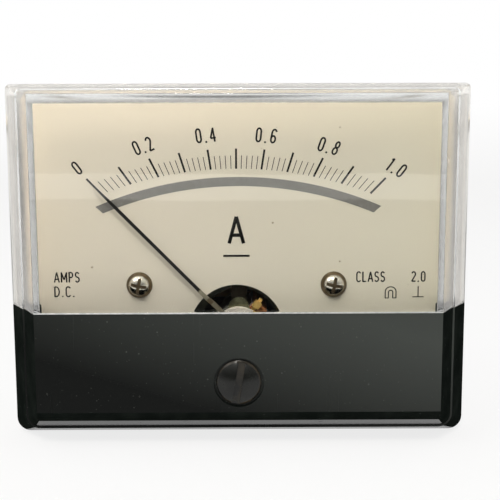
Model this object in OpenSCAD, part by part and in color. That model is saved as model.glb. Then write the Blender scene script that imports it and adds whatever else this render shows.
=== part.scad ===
// Analog panel meter: a moving-coil ammeter for a flush cut-out in a panel.
// X is to the right, Z is up and the face looks along -Y. The origin is the middle of the
// mounting plane, where the cover's rear rim meets the panel. All sizes are in millimetres.

/* [Cover] */
// Width of the cover at its rear rim
cover_w = 86; // [84:1:104]
// Height of the cover at its rear rim
cover_h = 66; // [64:1:80]
// How far the cover stands in front of the panel
cover_d = 13; // [12.5:0.5:16]
// Wall thickness of both cover mouldings
wall = 2; // [1.6:0.1:2.4]
// How far each side wall leans in from rim to front
side_lean = 6.6; // [4:0.1:7.5]
// How far the top wall leans in from rim to front
top_lean = 2.5; // [1.5:0.1:4]
// How far the bottom wall leans in from rim to front
bottom_lean = 4.4; // [3:0.1:5]
// Radius of the lower front edge
front_edge_r = 3; // [2:0.1:4]
// Corner radius of the rim, top
top_corner_r = 1; // [0.6:0.1:2]
// Corner radius of the rim, bottom
bottom_corner_r = 2.6; // [1.5:0.1:4]
// Height of the joint between window and lower cover
seam_z = -8.2; // [-9.5:0.1:-7]
// Small step half-way along the walls
wall_step = 0.35; // [0.2:0.05:0.6]
// Depth of that step in front of the panel
step_d = 7.5; // [6:0.5:9]

/* [Base] */
// Thickness of the base flange that carries the cover
plate_t = 2.6; // [2:0.1:3.2]
// Outer radius of the rear barrel
barrel_r = 27; // [27:0.5:29]
// Wall of the rear barrel
barrel_wall = 1.8; // [1.4:0.1:2.2]
// Depth of the barrel behind the panel
barrel_d = 24; // [24:0.5:30]
// Height of the barrel's axis
barrel_z = -4; // [-4.5:0.1:-3.5]
// Distance between mounting studs, sideways
stud_dx = 72; // [70:1:74]
// Distance between mounting studs, up and down
stud_dz = 52; // [50:1:54]
// Radius of a mounting stud
stud_r = 1.5; // [1.25:0.25:2]
// How far the mounting studs stand behind the panel
stud_len = 14; // [10:1:18]

/* [Dial] */
// Depth of the dial's face in front of the panel
dial_d = 5.5; // [5.3:0.1:6]
// Thickness of the dial plate
dial_t = 0.7; // [0.5:0.1:0.9]
// Radius of the opening round the movement
dial_hole_r = 8.9; // [8.5:0.1:9.5]
// Distance of each dial screw from the middle
dial_screw_x = 18; // [17.8:0.1:18.5]
// Height of the dial screws
dial_screw_z = -4; // [-5:0.1:-3]
// Radius of a dial screw's head
dial_screw_head_r = 2.45; // [2:0.05:2.8]

/* [Movement] */
// Height of the pointer's pivot
pivot_z = -12.3; // [-12.8:0.1:-11.8]
// Length of the pointer from its pivot
pointer_len = 38; // [33:0.5:40]
// Angle of the pointer at zero, left of upright
zero_angle = 44.5; // [40:0.5:50]
// Radius of the soft-iron core
core_r = 4.4; // [4:0.1:4.6]
// Radius of the bore between the pole pieces
pole_bore_r = 7.3; // [7:0.1:7.6]
// Length of the core and the pole pieces
core_len = 11; // [10:0.5:12]
// Radius of a fine pivot on the coil's staff
pivot_r = 0.25; // [0.2:0.01:0.3]

/* [Zero adjuster] */
// Height of the zero adjuster's axis
zero_z = -20.7; // [-21.5:0.1:-20]
// Radius of its head
zero_head_r = 4.05; // [3.6:0.05:4.4]
// Radius of its shank
zero_shank_r = 2.45; // [2.2:0.05:2.7]
// Throw of its eccentric pin
zero_throw = 1.2; // [1:0.05:1.4]
// Tilt of its screwdriver slot
zero_slot_tilt = 9; // [0:1:45]

/* [Terminals] */
// Distance of each terminal from the middle
terminal_x = 12.5; // [12:0.1:13]
// Height of the terminals
terminal_z = -9.5; // [-10:0.1:-9]
// Radius of a terminal stud
terminal_r = 2; // [1.8:0.1:2.5]
// How far a terminal stud stands behind the barrel
terminal_len = 12; // [10:0.5:16]

/* [Hidden] */
$fn = 48;

// Clearances
run_gap = 0.05;      // radius, a shaft that turns in its bore
face_gap = 0.1;      // between faces that slide past each other
fit_gap = 0.2;       // between pieces that drop into each other
screw_gap = 0.05;    // radius, a screw in its thread
pass_gap = 0.15;     // radius, a screw through a plain hole
skin = 0.02;         // how far one cut passes a face

// Cover
half_w = cover_w / 2;
half_h = cover_h / 2;
seam_lip = 1.4;      // height of the lower cover's lip inside the window
lip_t = 0.8;

// Depths along Y
plate_y = -plate_t;
dial_y = -dial_d;
dial_back_y = dial_y + dial_t;
pole_y0 = -3;
pole_y1 = pole_y0 + core_len;
rear_wall_t = 2;
rear_wall_y = barrel_d - rear_wall_t;

// Moving coil
coil_gap = 0.4;      // from the core to the former, and from the former to the core's ends
former_t = 0.3;
former_half = 1.6;   // half width of the former along the gap
winding_t = 0.9;
winding_half = 1.4;
arm_turn = -9;       // the cross arms, from square to the pointer
former_in = core_r + coil_gap;
former_out = former_in + former_t;
winding_out = former_out + winding_t;
coil_y0 = pole_y0 - coil_gap - former_t - winding_t;
coil_y1 = pole_y1 + coil_gap + former_t + winding_t;

// Front bearing, counted forwards from the coil
staff_r = 0.5;
hub_y = coil_y0 - 1.2;          // middle of the pointer's hub
pointer_t = 0.2;
arm_t = 0.4;
spring_y = hub_y - 0.75;        // middle of the front hairspring
spring_w = 0.4;
jewel_y = spring_y - 0.4;       // rear end of the front jewel screw
bridge_t = 0.8;
bridge_y = jewel_y - 0.15;      // rear face of the front bridge
lever_t = 0.6;
lever_y = bridge_y - bridge_t - face_gap;  // rear face of the zero lever
lock_t = 0.8;
lock_y = lever_y - lever_t - face_gap;     // rear face of the front lock nut
jewel_r = 1.5;
jewel_len = jewel_y - lock_y + lock_t + 0.4;
blade_y = bridge_y + 0.4;                  // plane of the pointer's blade

// Rear bearing, counted backwards from the coil
rear_spring_y = coil_y1 + 1.2;
rear_jewel_y = rear_spring_y + 0.8;
rear_arm_t = 0.6;
rear_bridge_y = rear_jewel_y + rear_arm_t + 0.2;
rear_bridge_t = 0.8;

// Pole pieces and what bolts them together
pole_gap = 1.5;      // half the slot between the pole pieces
pole_half_w = 14;
pole_down = 11;
pole_up = 13;
magnet_half_w = 6;
magnet_top = 14;
leg_x = 11;
leg_drop = 3;        // how far the bridge legs stand below the pivot
leg_r = 1.9;
bridge_r = 3.4;      // round middle of the front bridge
bridge_top_r = 1.9;  // its narrower round top
bridge_top_z = 4.4;
dial_hole_drop = 0.6;  // from the pivot down to the middle of the dial's opening
dial_shift = -0.4;     // the dial, its opening and screws sit a little to the left
mover_x = [10, 11.5];
mover_z = [10, -20.5];
mover_r = 1.5;
mover_post_r = 3;

// Balance weights and the stops that the tail weight's arm meets
tail_reach = 8.2;
stop_pin_r = 0.35;
stop_at = 7.75;      // distance of the stop pins from the pivot
stop_margin = 8.5;   // how far the pointer can pass each end of the scale
arm_half = 0.35;

// Base details
dial_boss_r = 3.2;
pillar_flats = 5;
pillar_len = 9;
stud_head_r = 2.75;
stud_head_t = 1.4;
stud_neck_r = stud_r + 0.25;  // neck that sits in the base
cover_screw_r = 1.1;
cover_screw_x = stud_dx / 2 - 6;
cover_screw_z = -half_h + wall + cover_screw_r + 2.7;

// Zero adjuster
zero_head_t = 1.4;
zero_recess = 0.6;
zero_boss_r = 4;
zero_clip_t = 0.5;
zero_pin_r = 0.6;
groove_depth = 0.45;
zero_floor_y = -cover_d + zero_recess;
zero_shank_y = lever_y - lever_t - 0.2;          // rear end of the shank
zero_clip_y = zero_shank_y - 0.2 - zero_clip_t;  // front face of the clip
zero_boss_y = zero_clip_y - face_gap;            // rear end of the cover's boss
fork_gap = 0.1;
pin_drop = pivot_z - zero_z - zero_throw;  // from the pivot down to the eccentric pin

// Terminals
terminal_head_t = 2;
terminal_head_r = 3.4;
shunt_t = 0.4;
tag_t = 0.6;
washer_t = 0.8;
nut_t = 3.2;
tag_y = rear_wall_y - tag_t;
shunt_y = tag_y - shunt_t;
head_y = shunt_y - terminal_head_t;
groove_y0 = barrel_d + washer_t + nut_t + 0.3;  // thread relief behind the nut
groove_y1 = groove_y0 + 0.7;

// Helpers

// A round bar along Y at (x, z)
module bar(x, z, y0, y1, r) {
    translate([x, y0, z]) rotate([-90, 0, 0]) cylinder(h = y1 - y0, r = r);
}

// An outline in X and Z, from y0 back to y1
module slab(y0, y1) {
    translate([0, y1, 0]) rotate([90, 0, 0]) linear_extrude(y1 - y0) children();
}

// A hexagonal bar along Y, measured across its flats
module hex_bar(x, z, y0, y1, flats) {
    translate([x, y0, z]) rotate([-90, 0, 0])
        cylinder(h = y1 - y0, r = flats / sqrt(3), $fn = 6);
}

// Places children at both sides
module both_sides(x) {
    for (s = [-1, 1]) translate([s * x, 0, 0]) children();
}

module at_dial_screws() {
    translate([dial_shift, 0, 0]) both_sides(dial_screw_x) children();
}

// Turns children about the pointer's pivot, clockwise seen from the front
module at_pivot(angle = 0) {
    translate([0, 0, pivot_z]) rotate([0, angle, 0]) children();
}

// A straight wire between two points, with a round end
module wire(a, b, r) {
    d = b - a;
    translate(a) rotate([0, acos(d.z / norm(d)), atan2(d.y, d.x)]) cylinder(h = norm(d), r = r, $fn = 16);
    translate(b) sphere(1.2 * r, $fn = 16);
}

// A flat spiral ribbon in X and Z
function spiral(r0, pitch, turns, side, steps = 22) =
    [for (i = [0 : turns * steps]) let (a = 360 * i / steps, r = r0 + pitch * i / steps + side)
        [r * sin(a), -r * cos(a)]];
function backwards(list) = [for (i = [len(list) - 1 : -1 : 0]) list[i]];

// Cover mouldings

// Share of the lean that is reached at depth y
function lean_at(y) = max(0, min(1, (-y - plate_t) / (cover_d - plate_t)));

// Half width of the cover at depth y, drawn in by a further amount
function half_w_at(y, more) = half_w - side_lean * lean_at(y) - more;

// The four rounded corners of the outline at depth y, drawn in by a further amount
module corners(y, more) {
    x = half_w_at(y, more);
    top = half_h - top_lean * lean_at(y) - more;
    bottom = -half_h + bottom_lean * lean_at(y) + more;
    rt = max(0.3, top_corner_r - more);
    rb = max(0.3, bottom_corner_r - more);
    for (side = [-1, 1]) {
        translate([side * (x - rt), top - rt]) circle(rt, $fn = 32);
        translate([side * (x - rb), bottom + rb]) circle(rb, $fn = 32);
    }
}

// The front wall with its round lower edge, at depth y
module front_end(y, more) {
    r = max(0.5, front_edge_r - more);
    x = half_w_at(y, more);
    top = half_h - top_lean * lean_at(y) - more;
    low = -half_h + bottom_lean * lean_at(y) + more + r;
    translate([-x, y, low]) cube([2 * x, skin, top - low]);
    translate([-x, y + r, low]) rotate([0, 90, 0]) cylinder(h = 2 * x, r = r, $fn = 32);
}

module cover_outside() {
    hull() {
        slab(plate_y, 0) corners(0, 0);
        slab(-step_d, -step_d + skin) corners(-step_d, 0);
    }
    hull() {
        slab(-step_d, -step_d + skin) corners(-step_d, wall_step);
        front_end(-cover_d, 0);
    }
}

module cover_inside() {
    hull() {
        slab(plate_y, skin) corners(0, wall);
        front_end(-cover_d + wall, wall);
    }
}

module cover_shell() {
    difference() {
        cover_outside();
        cover_inside();
    }
}

module above_seam() {
    translate([-cover_w, -cover_d - 1, seam_z]) cube([2 * cover_w, cover_d + 2, cover_h]);
}

// Lips of the lower cover that stand up inside the window's side walls
module seam_lips() {
    y0 = -cover_d + wall + 1;
    y1 = plate_y - 1;
    module band(outer, z0, z1) {
        translate([0, 0, z0]) linear_extrude(z1 - z0) polygon([
            [half_w_at(y0, wall + lip_t), y0], [half_w_at(y0, outer), y0],
            [half_w_at(y1, outer), y1], [half_w_at(y1, wall + lip_t), y1]]);
    }
    for (s = [0, 1]) mirror([s, 0, 0]) {
        band(wall + screw_gap, seam_z - wall, seam_z + seam_lip);
        band(wall / 2, seam_z - wall, seam_z);
    }
}

module window_cover() {
    color([0.85, 0.9, 0.92, 0.35])
        intersection() {
            cover_shell();
            above_seam();
        }
}

module lower_cover() {
    color([0.1, 0.11, 0.11]) {
        difference() {
            union() {
                difference() {
                    cover_shell();
                    above_seam();
                }
                bar(0, zero_z, -cover_d + wall / 2, zero_boss_y, zero_boss_r);
                both_sides(cover_screw_x)
                    bar(0, cover_screw_z, plate_y - 5.8, plate_y, cover_screw_r + 1.3);
            }
            bar(0, zero_z, -cover_d - 1, zero_boss_y + 1, zero_shank_r + run_gap);
            bar(0, zero_z, -cover_d - 1, zero_floor_y, zero_head_r + fit_gap + 0.25);
            both_sides(cover_screw_x)
                bar(0, cover_screw_z, plate_y - 5.2, plate_y + 1, cover_screw_r + screw_gap);
        }
        seam_lips();
    }
}

// Base and what is fixed in it

module base_plate() {
    x = half_w - wall - fit_gap;
    z = half_h - wall - fit_gap;
    slab(plate_y, 0) difference() {
        translate([-x, -z]) square([2 * x, 2 * z]);
        translate([0, barrel_z]) circle(barrel_r - barrel_wall);
        for (sx = [-1, 1], sz = [-1, 1])
            translate([sx * stud_dx / 2, sz * stud_dz / 2]) circle(stud_neck_r + screw_gap);
        for (sx = [-1, 1]) {
            translate([sx * cover_screw_x, cover_screw_z]) circle(cover_screw_r + pass_gap);
            translate([sx * x, -z]) rotate(45) square(bottom_corner_r * 1.2, center = true);
        }
    }
}

module polarity_marks() {
    for (s = [-1, 1]) translate([s * terminal_x, barrel_d, terminal_z + 8.5]) {
        translate([-1.6, 0, -0.4]) cube([3.2, 0.4, 0.8]);
        if (s < 0) translate([-0.4, 0, -1.6]) cube([0.8, 0.4, 3.2]);
    }
}

module base() {
    color([0.12, 0.12, 0.12]) {
        difference() {
            union() {
                base_plate();
                difference() {
                    union() {
                        bar(0, barrel_z, 0, barrel_d, barrel_r);
                        bar(0, barrel_z, -skin, skin, barrel_r - barrel_wall / 2);
                    }
                    bar(0, barrel_z, -1, rear_wall_y, barrel_r - barrel_wall);
                }
                at_dial_screws()
                    bar(0, dial_screw_z, dial_back_y + pillar_len, rear_wall_y + 1, dial_boss_r);
                for (i = [0, 1]) both_sides(mover_x[i])
                    bar(0, mover_z[i], pole_y1, rear_wall_y + 1, mover_post_r);
            }
            for (sx = [-1, 1], sz = [-1, 1])
                bar(sx * stud_dx / 2, sz * stud_dz / 2, plate_y - 1,
                    plate_y + stud_head_t, stud_head_r + fit_gap);
            both_sides(cover_screw_x)
                bar(0, cover_screw_z, -1, 1, cover_screw_r + 1 + fit_gap);
            at_dial_screws()
                bar(0, dial_screw_z, dial_back_y + pillar_len - 1,
                    dial_back_y + pillar_len + 6, mover_r + screw_gap);
            for (i = [0, 1]) both_sides(mover_x[i])
                bar(0, mover_z[i], pole_y1 - 1, pole_y1 + 7, mover_r + screw_gap);
            both_sides(terminal_x)
                bar(0, terminal_z, rear_wall_y - 1, barrel_d + 1, terminal_r + pass_gap);
        }
        polarity_marks();
    }
}

module mounting_studs() {
    color([0.78, 0.76, 0.7]) for (sx = [-1, 1], sz = [-1, 1]) {
        bar(sx * stud_dx / 2, sz * stud_dz / 2, plate_y, 0, stud_neck_r);
        bar(sx * stud_dx / 2, sz * stud_dz / 2, -skin, stud_len, stud_r);
        hex_bar(sx * stud_dx / 2, sz * stud_dz / 2, plate_y, plate_y + stud_head_t,
            stud_head_r * sqrt(3) * 0.98);
    }
}

module cover_screws() {
    color([0.7, 0.7, 0.7]) both_sides(cover_screw_x) {
        difference() {
            bar(0, cover_screw_z, -1, -0.1, cover_screw_r + 1);
            translate([-2, -0.5, cover_screw_z - 0.25]) cube([4, 1, 0.5]);
        }
        bar(0, cover_screw_z, plate_y - 4.8, -1 + skin, cover_screw_r);
    }
}

// Dial

module dial_plate() {
    s = lean_at(dial_y);
    x = half_w - side_lean * s - wall - 2 * fit_gap - lip_t;
    top = half_h - top_lean * s - wall - 2 * fit_gap;
    bottom = -half_h + bottom_lean + wall + 2;
    notch_w = 2 * (leg_x + leg_r + 1.6);
    notch_top = pivot_z + 1.3;
    color([0.86, 0.84, 0.78]) slab(dial_y, dial_back_y) difference() {
        translate([-x, bottom]) square([2 * x, top - bottom]);
        translate([dial_shift, pivot_z - dial_hole_drop]) circle(dial_hole_r);
        translate([-notch_w / 2, bottom - 1]) square([notch_w, notch_top - bottom + 1]);
        for (side = [-1, 1])
            translate([dial_shift + side * dial_screw_x, dial_screw_z]) circle(1.2 + pass_gap);
    }
}

module dial_screws() {
    head_t = 1.7;
    color([0.8, 0.78, 0.72]) at_dial_screws() {
        difference() {
            translate([0, dial_y, dial_screw_z]) rotate([90, 0, 0]) rotate_extrude()
                intersection() {
                    square([dial_screw_head_r, head_t]);
                    translate([0, head_t - 2.6]) circle(2.6);
                }
            for (a = [0, 90]) translate([0, dial_y - head_t, dial_screw_z]) rotate([0, a + 12, 0])
                cube([2.9, 1.8, 0.6], center = true);
        }
        bar(0, dial_screw_z, dial_y - skin, dial_y + 6, 1.2);
    }
}

module dial_pillars() {
    color([0.8, 0.68, 0.4]) at_dial_screws() {
        difference() {
            hex_bar(0, dial_screw_z, dial_back_y, dial_back_y + pillar_len, pillar_flats);
            bar(0, dial_screw_z, dial_back_y - 1, dial_back_y + 6.5, 1.2 + screw_gap);
        }
        bar(0, dial_screw_z, dial_back_y + pillar_len - skin, dial_back_y + pillar_len + 5.5,
            mover_r);
    }
}

// Zero adjuster

module zero_screw() {
    color([0.1, 0.1, 0.1]) difference() {
        union() {
            translate([0, zero_floor_y - face_gap, zero_z]) rotate([90, 0, 0]) rotate_extrude()
                intersection() {
                    square([zero_head_r, zero_head_t]);
                    translate([0, zero_head_t - 7.5]) circle(7.5, $fn = 96);
                }
            bar(0, zero_z, zero_floor_y - face_gap - skin, zero_shank_y, zero_shank_r);
            bar(0, zero_z + zero_throw, zero_shank_y - skin, lever_y + 0.5, zero_pin_r);
        }
        translate([0, zero_floor_y - face_gap - zero_head_t, zero_z])
            rotate([0, zero_slot_tilt, 0]) cube([1.3, 2, 3 * zero_head_r], center = true);
        difference() {
            bar(0, zero_z, zero_clip_y, zero_clip_y + zero_clip_t, zero_shank_r + 1);
            bar(0, zero_z, zero_clip_y - 1, zero_clip_y + 2, zero_shank_r - groove_depth);
        }
    }
}

module zero_screw_clip() {
    color([0.6, 0.6, 0.62]) slab(zero_clip_y, zero_clip_y + zero_clip_t)
        translate([0, zero_z]) difference() {
            circle(zero_shank_r + 1.1);
            circle(zero_shank_r - groove_depth);
            translate([-1.2, -6]) square([2.4, 6]);
        }
}

module zero_lever() {
    fork_half = zero_pin_r + fork_gap + 0.9;
    fork_end = pin_drop + zero_pin_r + 1.2;
    color([0.86, 0.8, 0.76]) at_pivot() {
        slab(lever_y - lever_t, lever_y) difference() {
            union() {
                circle(4.7);
                translate([-1.4, -pin_drop + 1.5]) square([2.8, pin_drop - 3]);
                translate([-fork_half, -fork_end]) square([2 * fork_half, 3.6]);
            }
            circle(jewel_r + run_gap);
            translate([-zero_pin_r - fork_gap, -fork_end - 1])
                square([2 * (zero_pin_r + fork_gap), 3.6]);
        }
        translate([-0.8, lever_y - skin, -4.65])
            cube([1.6, spring_y + spring_w / 2 - lever_y + skin, 0.6]);
    }
}

// Front bearing

module bridge_outline(round_r, flat_z) {
    intersection() {
        circle(round_r);
        translate([-round_r, flat_z]) square([2 * round_r, 2 * round_r]);
    }
    difference() {
        translate([-leg_x, -leg_drop - 0.4]) square([2 * leg_x, 3.4]);
        translate([-20, flat_z - 20]) square([40, 20]);
    }
    for (s = [-1, 1]) translate([s * leg_x, -leg_drop]) circle(leg_r);
}

module front_bridge() {
    color([0.55, 0.56, 0.48]) at_pivot() difference() {
        union() {
            slab(bridge_y - bridge_t, bridge_y) {
                bridge_outline(bridge_r, -3.4);
                translate([0, bridge_top_z]) circle(bridge_top_r);
                polygon([[-bridge_r + 0.1, 0.6], [-bridge_top_r, bridge_top_z + 0.2],
                    [bridge_top_r, bridge_top_z + 0.2], [bridge_r - 0.1, 0.6]]);
            }
            both_sides(leg_x) bar(0, -leg_drop, bridge_y - skin, pole_y0, leg_r);
        }
        bar(0, 0, bridge_y - 2, bridge_y + 1, jewel_r + screw_gap);
        both_sides(leg_x) bar(0, -leg_drop, bridge_y - 2, pole_y0 + 1, 1 + pass_gap);
    }
}

module small_screw(y0, y1, head_t, up) {
    difference() {
        bar(0, 0, y0 - head_t, y0, 1.75);
        translate([-3, y0 - head_t - 1, -0.2]) cube([6, 1.4, 0.4]);
    }
    bar(0, 0, y0 - skin, y1, up);
}

module bridge_screws() {
    color([0.75, 0.72, 0.6]) at_pivot() both_sides(leg_x) translate([0, 0, -leg_drop])
        small_screw(bridge_y - bridge_t, pole_y0 + 3, 1, 1);
}

// A jewel screw whose cup opens towards +Y, drawn from its cup end at y = 0 forwards
module jewel_screw(length) {
    difference() {
        bar(0, 0, -length, 0, jewel_r);
        bar(0, 0, -0.8, 1, pivot_r + run_gap);
        translate([-3, -length - 1, -0.2]) cube([6, 1.5, 0.4]);
    }
}

module front_jewel_screw() {
    color([0.85, 0.75, 0.45]) at_pivot() translate([0, jewel_y, 0]) jewel_screw(jewel_len);
}

module front_lock_nut() {
    color([0.85, 0.75, 0.45]) at_pivot() difference() {
        hex_bar(0, 0, lock_y - lock_t, lock_y, 4.8);
        bar(0, 0, lock_y - 2, lock_y + 1, jewel_r + screw_gap);
    }
}

module hairspring(turns) {
    t = 0.08;
    slab(-spring_w / 2, spring_w / 2)
        polygon(concat(spiral(0.85, 0.78, turns, t), backwards(spiral(0.85, 0.78, turns, -t))));
}

module front_hairspring() {
    color([0.8, 0.65, 0.35]) at_pivot() translate([0, spring_y, 0]) hairspring(4);
}

// Moving element: everything here turns together

module pointer() {
    root_r = 7;     // where the wide root bends forwards
    step_r = 8.2;   // where it runs on in the blade's plane
    blade_r = 10.4; // where the thin blade starts
    color([0.1, 0.1, 0.1]) at_pivot(-zero_angle) {
        difference() {
            bar(0, 0, hub_y - 0.3, hub_y + 0.3, 1.2);
            bar(0, 0, hub_y - 1, hub_y + 1, staff_r + skin);
        }
        translate([-0.45, hub_y - pointer_t / 2, 1]) cube([0.9, pointer_t, root_r - 1]);
        hull() {
            translate([-0.45, hub_y - pointer_t / 2, root_r - 0.1]) cube([0.9, pointer_t, 0.1]);
            translate([-0.4, blade_y - pointer_t / 2, step_r]) cube([0.8, pointer_t, 0.1]);
        }
        slab(blade_y - pointer_t / 2, blade_y + pointer_t / 2) polygon([[-0.4, step_r],
            [0.4, step_r], [0.36, blade_r], [0.3, blade_r + 0.5], [0.29, pointer_len - 6],
            [0.12, pointer_len], [-0.12, pointer_len], [-0.29, pointer_len - 6],
            [-0.3, blade_r + 0.5], [-0.36, blade_r]]);
    }
}

// One arm of the balance cross, away from the pivot to the given reach
module balance_arm(angle, reach) {
    rotate([0, angle, 0]) translate([-arm_half, hub_y + 0.3, 0.8])
        cube([2 * arm_half, arm_t, reach - 0.8]);
}

module balance_arms() {
    color([0.82, 0.66, 0.36]) at_pivot(-zero_angle) difference() {
        union() {
            bar(0, 0, hub_y + 0.3, hub_y + 0.3 + arm_t, 1.2);
            for (a = [90, 270]) balance_arm(a + arm_turn, 7);
            balance_arm(180, tail_reach);
        }
        bar(0, 0, hub_y - 1, hub_y + 1, staff_r + skin);
    }
}

// A weight that is closed round its arm
module balance_weight(angle, length) {
    rotate([0, angle, 0]) difference() {
        translate([-0.7, hub_y - 0.2, 5]) cube([1.4, 1.2, length]);
        translate([-arm_half, hub_y + 0.3, 4]) cube([2 * arm_half, arm_t, 6]);
    }
}

module balance_weights() {
    color([0.88, 0.7, 0.35]) at_pivot(-zero_angle) {
        for (a = [90, 270]) balance_weight(a + arm_turn, 1.3);
        balance_weight(180, 1.95);
    }
}

// A bar where each stop pin stands
module at_stops(y0, y1, r) {
    reach = zero_angle + stop_margin + (arm_half + stop_pin_r) / stop_at * 180 / PI;
    for (s = [-1, 1]) at_pivot(180 + s * reach) translate([0, 0, stop_at]) bar(0, 0, y0, y1, r);
}

module stop_pins() {
    color([0.75, 0.75, 0.78]) at_stops(pole_y0 - 2.7, pole_y0 + 2, stop_pin_r);
}

// The coil's two short staffs end in fine pivots
module staff(y0, y1, pivot_y) {
    bar(0, 0, min(y0, y1), max(y0, y1), staff_r);
    bar(0, 0, min(y1, pivot_y), max(y1, pivot_y), pivot_r);
}

module front_staff() {
    color([0.75, 0.75, 0.78]) at_pivot() {
        bar(0, 0, coil_y0 - 0.2, coil_y0, 1.1);
        staff(coil_y0 - 0.2 + skin, jewel_y + 0.15, jewel_y - 0.65);
    }
}

module rear_staff() {
    color([0.75, 0.75, 0.78]) at_pivot() {
        bar(0, 0, coil_y1, coil_y1 + 0.2, 1.1);
        staff(coil_y1 + 0.2 - skin, rear_jewel_y - 0.15, rear_jewel_y + 0.65);
    }
}

// A rectangular ring round the core, in the plane of the coil
module coil_ring(inner, outer, half) {
    end_gap = inner - core_r;
    extra = outer - inner;
    difference() {
        translate([-outer, pole_y0 - end_gap - extra, -half])
            cube([2 * outer, core_len + 2 * (end_gap + extra), 2 * half]);
        translate([-inner, pole_y0 - end_gap, -half - 1])
            cube([2 * inner, core_len + 2 * end_gap, 2 * half + 2]);
    }
}

module coil_former() {
    color([0.7, 0.7, 0.72]) at_pivot(-zero_angle)
        coil_ring(former_in, former_out, former_half);
}

module coil_winding() {
    color([0.72, 0.38, 0.2]) at_pivot(-zero_angle)
        coil_ring(former_out, winding_out, winding_half);
}

// Rear bearing

module rear_hairspring() {
    color([0.8, 0.65, 0.35]) at_pivot() translate([0, rear_spring_y, 0]) hairspring(4);
}

module rear_spring_arm() {
    color([0.8, 0.65, 0.35]) at_pivot() {
        slab(rear_bridge_y - rear_arm_t, rear_bridge_y) difference() {
            union() {
                circle(2.6);
                translate([-0.8, -4.65]) square([1.6, 4]);
            }
            circle(jewel_r + screw_gap);
        }
        translate([-0.8, rear_spring_y - spring_w / 2, -4.65])
            cube([1.6, rear_bridge_y - rear_arm_t - rear_spring_y + spring_w / 2 + skin, 0.6]);
    }
}

module rear_bridge() {
    y1 = rear_bridge_y + rear_bridge_t;
    color([0.55, 0.56, 0.48]) at_pivot() difference() {
        union() {
            slab(rear_bridge_y, y1) bridge_outline(4, -4);
            both_sides(leg_x) bar(0, -leg_drop, pole_y1, rear_bridge_y + skin, leg_r);
        }
        bar(0, 0, rear_bridge_y - 1, y1 + 1, jewel_r + screw_gap);
        both_sides(leg_x) bar(0, -leg_drop, pole_y1 - 1, y1 + 1, 1 + pass_gap);
    }
}

module rear_bridge_screws() {
    color([0.75, 0.72, 0.6]) at_pivot() both_sides(leg_x) translate([0, 0, -leg_drop])
        mirror([0, 1, 0]) small_screw(-rear_bridge_y - rear_bridge_t, -pole_y1 + 3, 1, 1);
}

module rear_jewel_screw() {
    color([0.85, 0.75, 0.45]) at_pivot() translate([0, rear_jewel_y, 0]) mirror([0, 1, 0])
        jewel_screw(rear_bridge_y + rear_bridge_t + lock_t + 0.4 - rear_jewel_y);
}

module rear_lock_nut() {
    y0 = rear_bridge_y + rear_bridge_t;
    color([0.85, 0.75, 0.45]) at_pivot() difference() {
        hex_bar(0, 0, y0, y0 + lock_t, 4.8);
        bar(0, 0, y0 - 1, y0 + 2, jewel_r + screw_gap);
    }
}

// Magnetic circuit

// Core strap, cut out of the core and held between the pole pieces
module strap() {
    translate([-pole_gap, pole_y0 + 4, -10]) cube([2 * pole_gap, 3, 20]);
}

module core() {
    color([0.5, 0.5, 0.52]) at_pivot() difference() {
        bar(0, 0, pole_y0, pole_y1, core_r);
        strap();
    }
}

module core_holder() {
    color([0.8, 0.66, 0.36]) at_pivot() strap();
}

module pole_piece() {
    difference() {
        slab(pole_y0, pole_y1) difference() {
            union() {
                translate([pole_gap, pivot_z - pole_down])
                    square([pole_half_w - pole_gap, pole_down + pole_up]);
                translate([magnet_half_w, pivot_z + pole_up - 1])
                    square([pole_half_w - magnet_half_w, magnet_top - pivot_z - pole_up + 1]);
            }
            translate([0, pivot_z]) circle(pole_bore_r);
        }
        for (i = [0, 1])
            bar(mover_x[i], mover_z[i], pole_y0 - 1, pole_y1 + 1, mover_r + pass_gap);
        at_stops(pole_y0 - 1, pole_y0 + 2, stop_pin_r);
        bar(leg_x, pivot_z - leg_drop, pole_y0 - 1, pole_y0 + 3.5, 1 + screw_gap);
        bar(leg_x, pivot_z - leg_drop, pole_y1 - 3.5, pole_y1 + 1, 1 + screw_gap);
    }
}

module left_pole_piece() {
    color([0.45, 0.47, 0.42]) mirror([1, 0, 0]) pole_piece();
}

module right_pole_piece() {
    color([0.45, 0.47, 0.42]) pole_piece();
}

module magnet() {
    bottom = pivot_z + pole_up + 0.8;
    color([0.3, 0.3, 0.31]) translate([-magnet_half_w, pole_y0, bottom])
        cube([2 * magnet_half_w, core_len, magnet_top - bottom]);
}

module movement_screws() {
    color([0.7, 0.7, 0.7]) for (i = [0, 1]) both_sides(mover_x[i]) translate([0, 0, mover_z[i]]) {
        difference() {
            bar(0, 0, pole_y0 - 1.4, pole_y0, 2.3);
            translate([-3, pole_y0 - 2.4, -0.3]) cube([6, 1.7, 0.6]);
        }
        bar(0, 0, pole_y0 - skin, pole_y1 + 6, mover_r);
    }
}

// Terminals

module terminal_studs() {
    color([0.8, 0.7, 0.45]) both_sides(terminal_x) {
        hex_bar(0, terminal_z, head_y, shunt_y, terminal_head_r * sqrt(3));
        bar(0, terminal_z, shunt_y - skin, groove_y0, terminal_r);
        bar(0, terminal_z, groove_y0 - skin, groove_y1 + skin, terminal_r - 0.25);
        bar(0, terminal_z, groove_y1, barrel_d + terminal_len, terminal_r);
    }
}

module terminal_tags() {
    color([0.8, 0.78, 0.7]) for (s = [-1, 1]) slab(tag_y, rear_wall_y) difference() {
        union() {
            translate([s * terminal_x, terminal_z]) circle(3.6);
            translate([s * terminal_x - 1.2, terminal_z + 3]) square([2.4, 5]);
        }
        translate([s * terminal_x, terminal_z]) circle(terminal_r + pass_gap);
        translate([s * terminal_x, terminal_z + 6.4]) circle(0.7);
    }
}

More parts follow.
